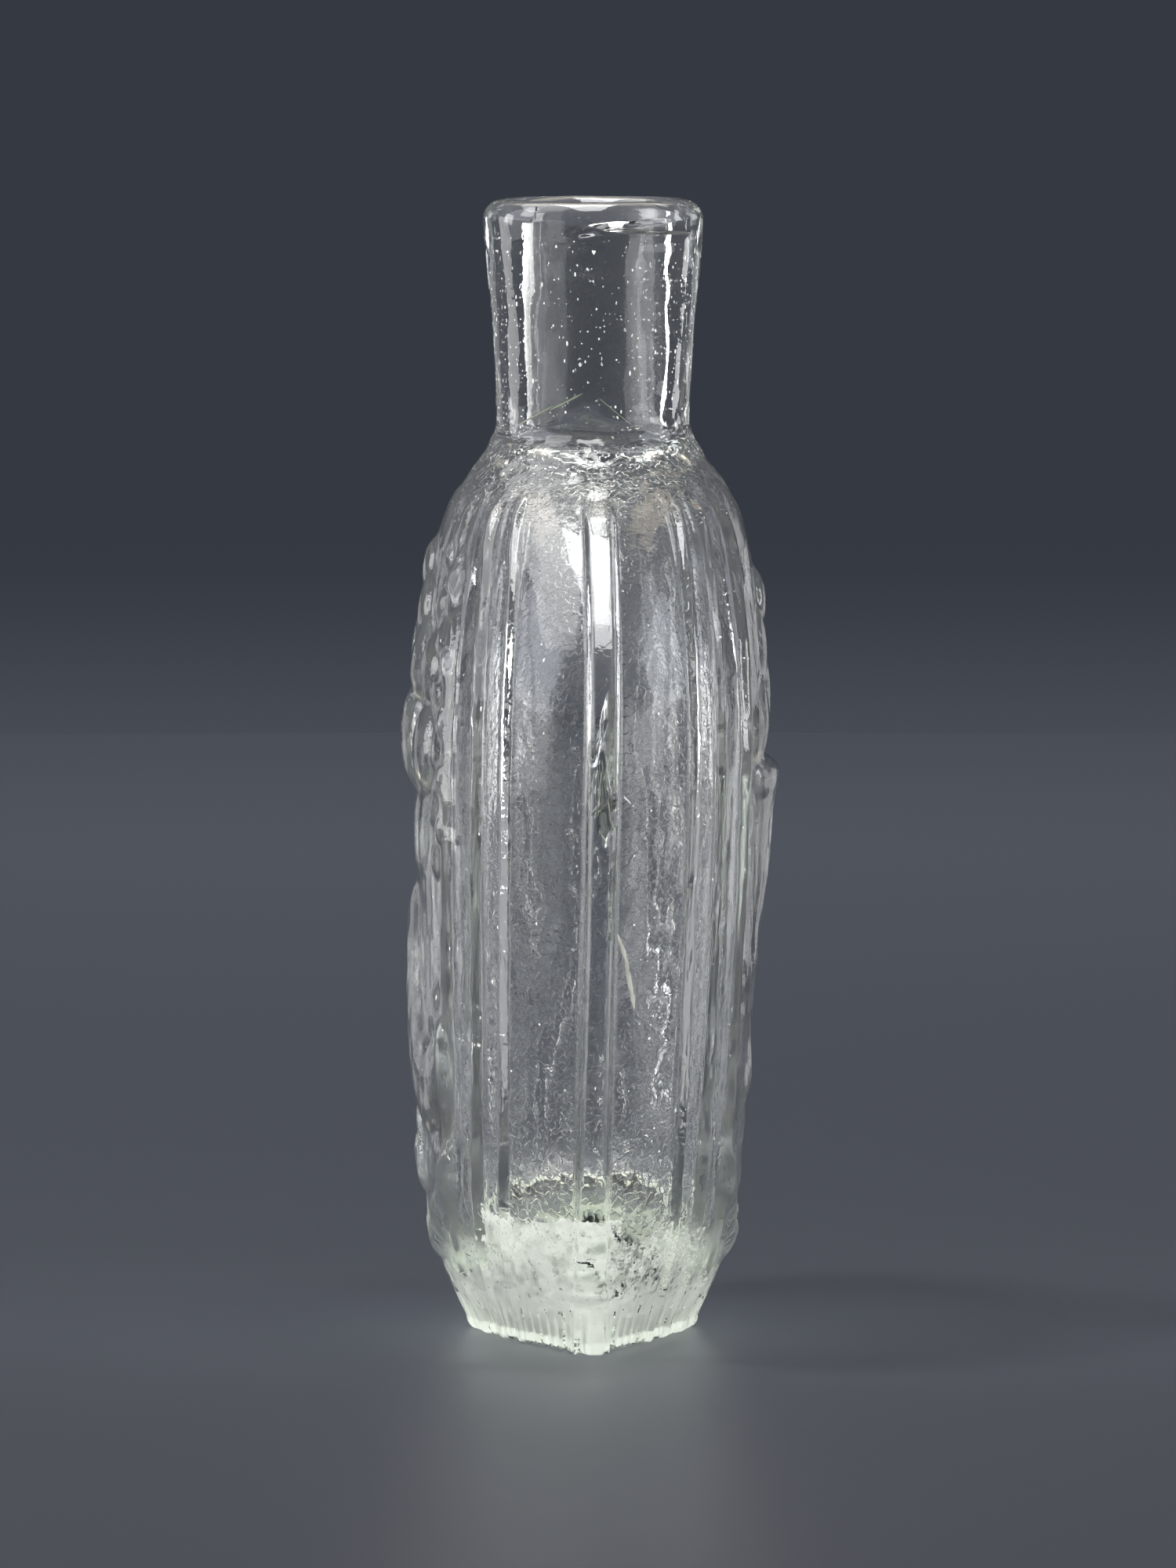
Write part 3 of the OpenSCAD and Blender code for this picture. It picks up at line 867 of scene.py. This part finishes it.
floor_z = grid[-1, :, 2].mean()
flask = mesh_of_loops("flask", grid, [FOOT_X, 0, SCAR_HIGH], [drift(WALL_LOW), 0, floor_z])
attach(flask, "root")
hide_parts("lip", "neck", "shoulder", "cornucopia_face", "urn_face", "near_edge", "far_edge", "base",
            "foot", "pontil_scar")
print("faces of the flask:", len(flask.data.polygons))

# %% [markdown]
# ## Grain of the skin
#
# The finest grain is smaller than the mesh, so the shader draws it as a bump. How strong it is at each place
# is kept on the mesh: strong low on the body and on the faces beside the ornament, weak on the ribs' crests,
# and nearly nothing on the neck and inside.

# %% Grain strength on the mesh
x, y, z = np.moveaxis(grid, 2, 0)
patchy = 0.5 + 0.5 * ripple(x, y, z, (6, 6, 9), 21)
low = ease((38 - z) / 24)
crest = np.broadcast_to(np.minimum(1, rib_columns / RIB_H), x.shape)
body_grain = (0.10 + 0.30 * patchy + 0.75 * low) * (1 - 0.75 * crest) * ease((104 - z) / 8)
body_grain = body_grain * (1 - 0.55 * ease((np.abs(x) - 11) / 3)) * (0.15 + 0.85 * ease((z - 5) / 8))
grain = np.where(row == "body", body_grain, 0.02)
grain = np.where(np.isin(row, ["heel", "foot"]), 0.12, grain)
grain = np.where(row == "body", np.maximum(grain, 0.9 * crumple), grain)
grain = np.where(row == "scar", 1.0, grain)
# how rough each part is: the foot by wear, the scar by its break, and the rest is polished by the fire
FOOT_WORN, SCAR_RAW = 0.22, 0.10
scuffs = np.where(row == "foot", FOOT_WORN, np.where(row == "scar", SCAR_RAW, 0.0)) + 0 * x
for name, values in (("mould_grain", grain), ("scuffs", scuffs)):
    layer = flask.data.attributes.new(name, "FLOAT", "POINT")
    layer.data.foreach_set("value", np.append(values.reshape(-1), [0.0, 0.0]).astype(np.float32))
    print(name, "up to", round(float(values.max()), 2))

# %% [markdown]
# ## The glass
#
# Soda-lime glass bends light by 1.52. It is clear in a thin wall and shows a faint green-yellow in a thick
# one, from traces of iron in the sand, so its colour comes from the depth of glass that the light crosses.
# The skin is as the mould left it: glossy, with flat grains whose steep edges look like curls. The ring that
# the flask stands on is scuffed by two centuries of shelves, and the scar of the pontil rod is raw broken
# glass. Age has also left a faint haze on the skin, so a few hundredths of the light is scattered and not
# let through.

# %% Glass material
# The grains are drawn 0.8 mm apart. Real ones are finer, and too fine to show at this size.
GRAIN_MM = 0.8
BUMP_MM = 0.10
HAZE_FREE = 0.95
TINT_DENSITY = 5.2


def make_glass():
    material, tree = new_material("soda_lime_glass")
    place = add(tree, "ShaderNodeTexCoord").outputs["Object"]
    strength = add(tree, "ShaderNodeAttribute", {"attribute_name": "mould_grain"}).outputs["Fac"]
    scuffs = add(tree, "ShaderNodeAttribute", {"attribute_name": "scuffs"}).outputs["Fac"]
    grains = add(tree, "ShaderNodeTexNoise", None, {
        "Vector": place, "Scale": 1 / (GRAIN_MM * MM), "Detail": 0.6,
    })
    curls = add(tree, "ShaderNodeMapRange", {"interpolation_type": "SMOOTHSTEP"}, {
        "Value": grains.outputs[0], "From Min": 0.45, "From Max": 0.56,
    })
    height = add(tree, "ShaderNodeMath", {"operation": "MULTIPLY"}, {0: curls.outputs[0], 1: strength})
    bump = add(tree, "ShaderNodeBump", None, {"Height": height.outputs[0], "Distance": BUMP_MM * MM})
    shader = add(tree, "ShaderNodeBsdfPrincipled", None, {
        "Base Color": (1, 1, 1, 1),
        "Roughness": scuffs,
        "IOR": 1.52,
        "Transmission Weight": HAZE_FREE,
        "Normal": bump.outputs[0],
    })
    tint = add(tree, "ShaderNodeVolumeAbsorption", None, {
        "Color": linear("#C2E0B6"), "Density": TINT_DENSITY,
    })
    add(tree, "ShaderNodeOutputMaterial", None, {"Surface": shader.outputs[0], "Volume": tint.outputs[0]})
    return material


flask.data.materials.append(make_glass())
print("the flask is made of", flask.data.materials[0].name)

# %% [markdown]
# ## Seeds
#
# Seeds are small bubbles of air that old glass never lost. They lie in the middle of the wall, thickest in
# the neck. The curved wall of a bubble gathers light from all sides, so at this size it shows as a bright
# dot. That glint is painted: a seed is made as a small pale ball that glows a little.

# %% Places in the wall
bubble_rng = np.random.default_rng(77)


def wall_point(column, height, depth):
    """A point in the wall at one column, from the outer skin (depth 0) to the inner one (depth 1)."""
    outer_rows = np.flatnonzero(np.isin(part_of, ["body", "neck", "lip"]))[:-19]
    inner_rows = np.flatnonzero(np.isin(part_of, ["bore", "cavity"]))[:-9]
    outside = grid[outer_rows[np.argmin(np.abs(grid[outer_rows, column, 2] - height))], column]
    within = grid[inner_rows[np.argmin(np.abs(grid[inner_rows, column, 2] - height))], column]
    return outside + (within - outside) * depth


def ball():
    bm = bmesh.new()
    bmesh.ops.create_icosphere(bm, subdivisions=2, radius=1.0)
    points = np.array([v.co[:] for v in bm.verts])
    faces = [[v.index for v in f.verts] for f in bm.faces]
    bm.free()
    return points, faces


print("corners of a seed:", len(ball()[0]))

# %% Seed bubbles
NECK_SEEDS, BODY_SEEDS = 640, 480


def make_seeds(name, count, low, high, sizes):
    unit, unit_faces = ball()
    points, faces = [], []
    for k in range(count):
        column = bubble_rng.integers(COLUMNS)
        height = bubble_rng.uniform(low, high)
        centre = wall_point(column, height, bubble_rng.uniform(0.2, 0.8))
        radius = bubble_rng.uniform(*sizes) * bubble_rng.uniform(0.6, 1.0)
        stretch = np.array([1, 1, bubble_rng.choice([1.0, 1.0, 1.6, 2.6])])
        points.append(centre + unit * radius * stretch)
        faces += [[v + k * len(unit) for v in f] for f in unit_faces]
    piece = new_piece(name, np.concatenate(points), faces)
    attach(piece, "root")
    return piece


# bubble_in_glass: the wall of a pocket of air is the glass's own polished face, so it has no colour and only
# bends and mirrors light. This gives the cracks their flash.


def make_bubble_skin():
    material, tree = new_material("bubble_in_glass")
    shader = add(tree, "ShaderNodeBsdfPrincipled", None, {
        "Roughness": 0.0, "IOR": 1.52, "Transmission Weight": 1.0,
    })
    add(tree, "ShaderNodeOutputMaterial", None, {"Surface": shader.outputs[0]})
    return material


# painted_glint_seed: nearly white and soft, with a little light of its own. This is a painted glint for the
# light that a bubble gathers from all round the glass.
SEED_GLINT = 0.3


def make_painted_glint_skin():
    material, tree = new_material("painted_glint_seed")
    shader = add(tree, "ShaderNodeBsdfPrincipled", None, {
        "Base Color": linear("#F4F6F2"), "Roughness": 0.25,
        "Emission Color": linear("#FFFFFF"), "Emission Strength": SEED_GLINT,
    })
    add(tree, "ShaderNodeOutputMaterial", None, {"Surface": shader.outputs[0]})
    return material


bubble_skin = make_bubble_skin()
painted_glint_skin = make_painted_glint_skin()
neck_seeds = make_seeds("seeds_in_neck", NECK_SEEDS, NECK_ROOT - 2, TOP - 4, (0.06, 0.14))
body_seeds = make_seeds("seeds_in_body", BODY_SEEDS, 20, NECK_ROOT - 2, (0.07, 0.14))
for piece in (neck_seeds, body_seeds):
    piece.data.materials.append(painted_glint_skin)
    print(piece.name, "faces:", len(piece.data.polygons))

# %% [markdown]
# ## Cloud and painted glow in the heel
#
# The thick glass of the base shows pale and pitted. Part of this is a cloud in the glass, and part is the
# light that thick glass gathers there. Both are painted into one pale, pitted veil that catches the light,
# so the veil is partly a painted glow. It is a thin ragged sheet inside the glass, built from the skin's own
# loops and drawn in by one millimetre at the heel and more than three at its top. The faces that chance picks
# are left out: many near the top and towards the broad faces, upright slits in the heel, and slanting
# scratches on the right. The rest thins to pores towards the right, where the glass behind it shows, and is
# nearly whole in the heel.

# %% Cloudy veil
VEIL_LOW, VEIL_HIGH = 0.65, 18.8
VEIL_LOOPS = 84
VEIL_DEPTH, VEIL_LEAN, VEIL_FLUTE = 1.25, 0.12, 0.7
PIT_FINE, PIT_BROAD = 0.07, 0.10


def veil_loop(z, by):
    return np.column_stack([shrunk(skin_loop(max(z, FOOT_TOP), 0.0), by), np.full(COLUMNS, z)])


def sheet_faces(rows, keep):
    index = np.arange(rows * COLUMNS).reshape(rows, COLUMNS)
    right = np.roll(index, -1, axis=1)
    return np.stack([index[:-1], right[:-1], right[1:], index[1:]], -1)[keep[:-1]]


def make_veil():
    rows = []
    for z in np.linspace(VEIL_LOW, VEIL_HIGH, VEIL_LOOPS):
        flute = VEIL_FLUTE * (heel_wave - 0.5)[:, None] * ease((6 - z) / 4)
        rows.append(veil_loop(z, VEIL_DEPTH + VEIL_LEAN * z + flute))
    sheet = np.array(rows)
    x, y, z = np.moveaxis(sheet, 2, 0)
    pits = PIT_FINE * ripple(x, y, z, 0.7, 31) + PIT_BROAD * ripple(x, y, z, (2.2, 2.2, 1.6), 33)
    sheet = sheet + outward(sheet) * (pits * ease((z - 2) / 3))[..., None]
    chance = 0.6 * ripple(x, y, z, (0.8, 0.8, 0.6), 35) + 0.5 * ripple(x, y, z, (5, 5, 3), 37)
    slits = ripple(x, y, z, (0.45, 0.45, 4), 39) + 0.6 * heel_wave
    scratched = ripple(x + 0.6 * z, y, x - 0.6 * z, (0.6, 0.6, 3), 43)
    # the veil frays from here up: low on the far side, and on the near side lower at the right than the left
    ragged_from = np.where(y > 0, 3.5, np.where(x > 2.0, 10.5, 15.2))
    fade_up = ease((z - ragged_from) / np.where(y > 0, 3.0, np.where(x > 2.0, 8.0, 4.0)))
    fade_out = ease((np.abs(x + 0.6) - 10.0) / 4.0) * ease((z - 7.0) / 4.0)
    keep = chance > -0.85 + 1.7 * np.maximum(fade_up, fade_out)
    keep &= (slits < 1.1) | (z > 5.5)
    keep &= (scratched < 0.65) | (x < 1.0) | (z < 5.5)
    piece = new_piece("cloud_and_glow_veil", sheet.reshape(-1, 3), sheet_faces(len(sheet), keep).tolist())
    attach(piece, "root")
    return piece


veil = make_veil()
print("faces of the veil:", len(veil.data.polygons))

# %% Cloudy glass
# cloud_and_painted_glow: matt and pale, in soft patches of two tones. Its paleness is partly a cloud of
# fine stones and bubbles, and partly a painted glow for the light that the thick base gathers. The patches
# and the pores are drawn coarser than real ones, so that they show.
PATCH_MM, PORE_MM = 2.2, 0.8
# In the heel the veil is painted paler and nearly whole. This is more painted glow, where the heel gathers
# the most light.
HEEL_LIFT, SIDE_LIFT = 0.35, 0.16
PORES = 0.65


def make_cloud(name, pale, dull, thin=0.0):
    """Matt glass in two tones. With thin above 0 it has pores, more of them towards +X."""
    material, tree = new_material(name)
    place = add(tree, "ShaderNodeTexCoord").outputs["Object"]
    across, _, height = add(tree, "ShaderNodeSeparateXYZ", None, {0: place}).outputs
    heel = add(tree, "ShaderNodeMapRange", None, {
        "Value": height, "From Min": 4 * MM, "From Max": 9 * MM, "To Min": HEEL_LIFT, "To Max": 0.0,
    })
    mottle = add(tree, "ShaderNodeTexNoise", None, {
        "Vector": place, "Scale": 1 / (PATCH_MM * MM), "Detail": 4.0,
    })
    even = add(tree, "ShaderNodeMath", {"operation": "SUBTRACT"}, {
        0: mottle.outputs[0], 1: heel.outputs[0],
    })
    patch = add(tree, "ShaderNodeMapRange", {"interpolation_type": "SMOOTHSTEP"}, {
        "Value": even.outputs[0], "From Min": 0.40, "From Max": 0.80,
    })
    tone = add(tree, "ShaderNodeMix", {"data_type": "RGBA"}, {
        0: patch.outputs[0], 6: linear(pale), 7: linear(dull),
    })
    bump = add(tree, "ShaderNodeBump", None, {"Height": mottle.outputs[0], "Distance": 0.2 * MM})
    shader = add(tree, "ShaderNodeBsdfPrincipled", None, {
        "Base Color": tone.outputs[2], "Roughness": 0.55, "Normal": bump.outputs[0],
    })
    if thin:
        pores = add(tree, "ShaderNodeTexNoise", None, {
            "Vector": place, "Scale": 1 / (PORE_MM * MM), "Detail": 2.0,
        })
        pale_side = add(tree, "ShaderNodeMapRange", None, {
            "Value": across, "From Min": -2 * MM, "From Max": 4 * MM, "To Min": SIDE_LIFT, "To Max": 0.0,
        })
        lift = add(tree, "ShaderNodeMath", {"operation": "MAXIMUM"}, {
            0: heel.outputs[0], 1: pale_side.outputs[0],
        })
        depth = add(tree, "ShaderNodeMath", {"operation": "ADD"}, {0: pores.outputs[0], 1: lift.outputs[0]})
        cover = add(tree, "ShaderNodeMapRange", {"interpolation_type": "SMOOTHSTEP"}, {
            "Value": depth.outputs[0], "From Min": 0.40, "From Max": 0.58, "To Min": 1 - thin,
        })
        tree.links.new(cover.outputs[0], shader.inputs["Alpha"])
    add(tree, "ShaderNodeOutputMaterial", None, {"Surface": shader.outputs[0]})
    return material


veil.data.materials.append(make_cloud("cloud_and_painted_glow", "#F6F7EF", "#B4B8AC", PORES))
print("the veil is made of", veil.data.materials[0].name)

# %% [markdown]
# ## Bruise, fold and slivers
#
# A knock on the near edge left a bruise in the heavy rib: thin curved cracks in the glass that flash like
# mirrors, because light can't leave glass at a slant into the air of a crack. Each crack is a thin lens of
# air, thickest in its middle and curved like a shell. Two more lie under the rim, where the fire closed a
# fold over a film of air. Slivers of sand that never melted and two burnt flecks have the same thin shape.

# %% Places of the cracks
# centre across and up, half width, half height, lean, turn about the upright and tip backwards in degrees,
# and depth under the skin
CRACKS = [
    (0.25, 73.5, 1.55, 8.8, 4, 50, 0, 1.0), (0.10, 71.0, 1.30, 5.6, -6, -52, 0, 0.9),
    (0.75, 66.8, 0.90, 3.4, 8, -48, 0, 0.9), (-0.3, 76.0, 0.80, 3.0, 16, -50, 0, 0.7),
    (0.1, 68.5, 0.90, 1.6, 50, 46, 0, 0.6), (0.95, 58.5, 0.60, 6.6, 3, 66, 0, 1.1),
    (4.4, 137.2, 4.4, 0.42, -3, 0, 36, 1.2), (6.6, 136.4, 4.4, 0.30, 3, 0, 40, 0.8),
]
SLIVERS = [
    (2.6, 50.7, 0.24, 2.4, -18, 10, 0, 0.7), (3.5, 46.4, 0.30, 3.0, -11, 10, 0, 0.7),
    (-6.9, 113.7, 0.10, 2.6, 59, 0, 0, 0.3), (-3.2, 115.5, 0.14, 2.3, 62, 0, 0, 0.3),
    (2.9, 114.2, 0.07, 2.8, -50, 0, 0, 0.3),
    (-0.3, 70.5, 0.06, 3.2, 4, 0, 0, 0.6), (0.9, 67.3, 0.05, 2.6, -8, 0, 0, 0.6),
    (0.5, 73.2, 0.05, 1.6, 14, 0, 0, 0.6), (0.2, 64.6, 0.05, 1.1, -30, 0, 0, 0.6),
]
FLECKS = [(-6.9, 139.2, 0.09, 0.35, 8, 0, 0, 0.2), (-7.0, 138.4, 0.07, 0.5, -6, 0, 0, 0.2)]
print("cracks, slivers and flecks:", len(CRACKS), len(SLIVERS), len(FLECKS))

# %% Thin lenses in the glass
LENS_COLUMNS, LENS_ROWS = 14, 40
LENS_SIZE = LENS_COLUMNS * LENS_ROWS
GAP, GAP_LEAST = 0.035, 0.002


def near_y(x, z):
    """How far forward the skin is on the near side, without its ribs."""
    body = half_w(z) * arch((x - drift(z)) / half_t(z), squareness(z)) + MEDIAL_H - 0.5
    neck = np.sqrt(np.maximum(1, neck_radius(z) ** 2 - (x - NECK_X) ** 2))
    return -np.where(z < NECK_ROOT, body, neck)


def lens_faces(start):
    """The faces of one lens: its front, its back and the rim between them."""
    index = np.arange(LENS_SIZE).reshape(LENS_ROWS, LENS_COLUMNS) + start
    quads = np.stack([index[:-1, :-1], index[:-1, 1:], index[1:, 1:], index[1:, :-1]], -1).reshape(-1, 4)
    edge = np.concatenate([index[0, :-1], index[:-1, -1], index[-1, :0:-1], index[:0:-1, 0]])
    after = np.roll(edge, -1)
    rim = np.stack([edge, after, after + LENS_SIZE, edge + LENS_SIZE], -1)
    return quads[:, ::-1].tolist() + (quads + LENS_SIZE).tolist() + rim.tolist()


def make_cracks(name, cracks, material):
    """One mesh of thin curved lenses that lie under the near skin."""
    points, faces = [], []
    for across, up, half_wide, half_high, lean, turn, tip, depth in cracks:
        u, v = np.meshgrid(np.linspace(-1, 1, LENS_COLUMNS), np.linspace(-1, 1, LENS_ROWS))
        wide = np.sqrt(np.maximum(0, 1 - v * v))
        ragged = 1 + 0.25 * ripple(u * 0, v * half_high, up, 0.8, across)
        lean, turn, tip = math.radians(lean), math.radians(turn), math.radians(tip)
        p, q = u * wide * half_wide * ragged, v * half_high
        dx = (p * math.cos(turn)) * math.cos(lean) + q * math.sin(lean)
        dz = -(p * math.cos(turn)) * math.sin(lean) + q * math.cos(lean)
        shell = 0.35 * min(1, half_wide) * (u * u * wide * wide) + 0.10 * ripple(dx, 0, dz, 1.0, up)
        gap = GAP * (1 - u * u) * wide + GAP_LEAST
        faces += lens_faces(sum(len(sheet) for sheet in points))
        for sign in (-1, 1):
            dy = p * math.sin(turn) + q * math.tan(tip) + shell + sign * gap + depth
            sheet = np.stack([across + dx, near_y(across + dx, up + dz) + dy, up + dz], -1)
            points.append(sheet.reshape(-1, 3))
    piece = new_piece(name, np.concatenate(points), faces)
    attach(piece, "root")
    piece.data.materials.append(material)
    print(name, "faces:", len(faces))
    return piece


# %% Cracks, slivers and flecks
# unmelted_stone: threads of sand that the furnace never melted, dull and pale grey-green in the clear glass.
# burnt_fleck: scale from the blowpipe, matt and nearly black.


def make_soot():
    material, tree = new_material("burnt_fleck")
    shader = add(tree, "ShaderNodeBsdfPrincipled", None, {
        "Base Color": linear("#1C1A18"), "Roughness": 0.6,
    })
    add(tree, "ShaderNodeOutputMaterial", None, {"Surface": shader.outputs[0]})
    return material


bruise = make_cracks("bruise", CRACKS, bubble_skin)
slivers = make_cracks("slivers", SLIVERS, make_cloud("unmelted_stone", "#8C9480", "#6C7362"))
make_cracks("flecks", FLECKS, make_soot())

# %% [markdown]
# ## Light through glass
#
# The boxes light the glass alone and the table has its own three lamps. The one over it shines through the
# glass, so the flask stands in no dark patch, and the two beside it draw the soft shadows at its foot. Four
# small lamps stand for the light that thick glass pipes to what lies inside it: the cloud, the slivers and
# the seeds.

# %% What each lamp lights


def linked(name, pieces, state):
    """A collection that tells a lamp which pieces it lights or is stopped by."""
    group = bpy.data.collections.new(name)
    for piece in pieces:
        group.objects.link(piece)
    for item in group.collection_objects:
        item.light_linking.link_state = state
    return group


clear = linked("clear_pieces", [flask, neck_seeds, body_seeds, bruise], "EXCLUDE")
not_table = linked("not_the_table", [floor], "EXCLUDE")
only_table = linked("only_the_table", [floor], "INCLUDE")
only_inner = linked("only_what_lies_in_the_glass", [veil, slivers, neck_seeds, body_seeds], "INCLUDE")
for name, lamp in lamps.items():
    kind = name.split("_")[0]
    lamp.light_linking.receiver_collection = {"table": only_table, "inner": only_inner}.get(kind, not_table)
    if name == "table_top" or kind == "inner":
        lamp.light_linking.blocker_collection = clear
    elif kind == "table":
        # otherwise light that is bent through the glass would fill the shadow again
        lamp.data.cycles.use_multiple_importance_sampling = False
